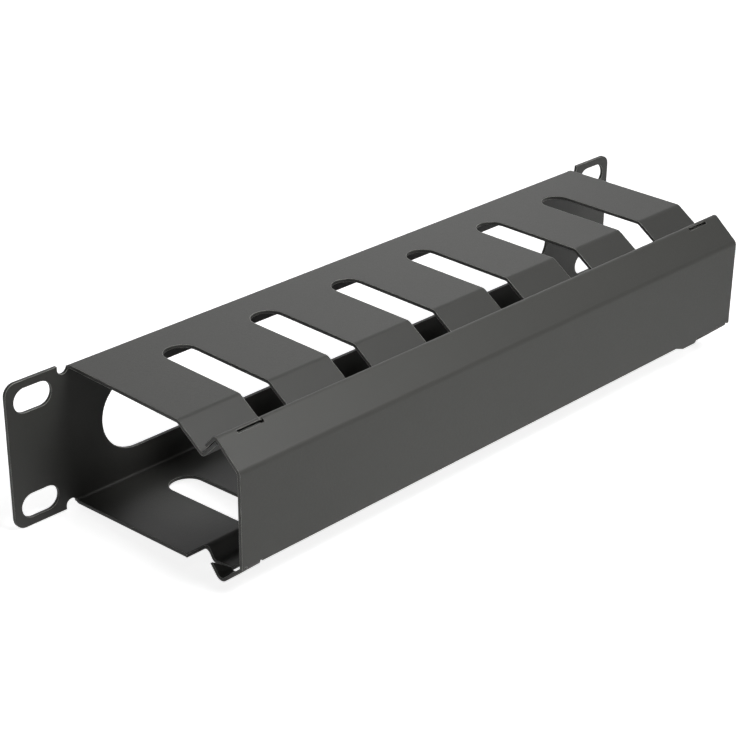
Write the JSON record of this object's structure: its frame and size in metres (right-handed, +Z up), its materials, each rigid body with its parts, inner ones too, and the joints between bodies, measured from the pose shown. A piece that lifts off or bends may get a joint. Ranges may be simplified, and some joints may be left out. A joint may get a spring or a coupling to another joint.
{
  "type": "horizontal cable manager",
  "caption": "Rack-mount horizontal cable manager: a folded steel channel with open cable slots above and below, rack ears, and a lift-off folded front cover.",
  "frame": {"origin": "centre of the four rack holes, on the rear face of the ears that meets the rack's posts", "axes": "+X along the rack's width, +Y towards the rear of the rack so that the cover faces -Y, +Z up"},
  "size_m": [0.254, 0.0691, 0.0439],
  "materials": {
    "trough_powder_coat": "satin dark grey powder coat",
    "cover_powder_coat": "satin dark grey powder coat"
  },
  "bodies": {
    "trough": {"cable_trough": "trough_powder_coat"},
    "cover": {"front_cover": "cover_powder_coat"}
  },
  "joints": [
    {"name": "cover_lift", "type": "slide", "parent": "trough", "child": "cover", "axis": [0, -0.6947, 0.7193], "range_m": [0, 0.05]}
  ]
}
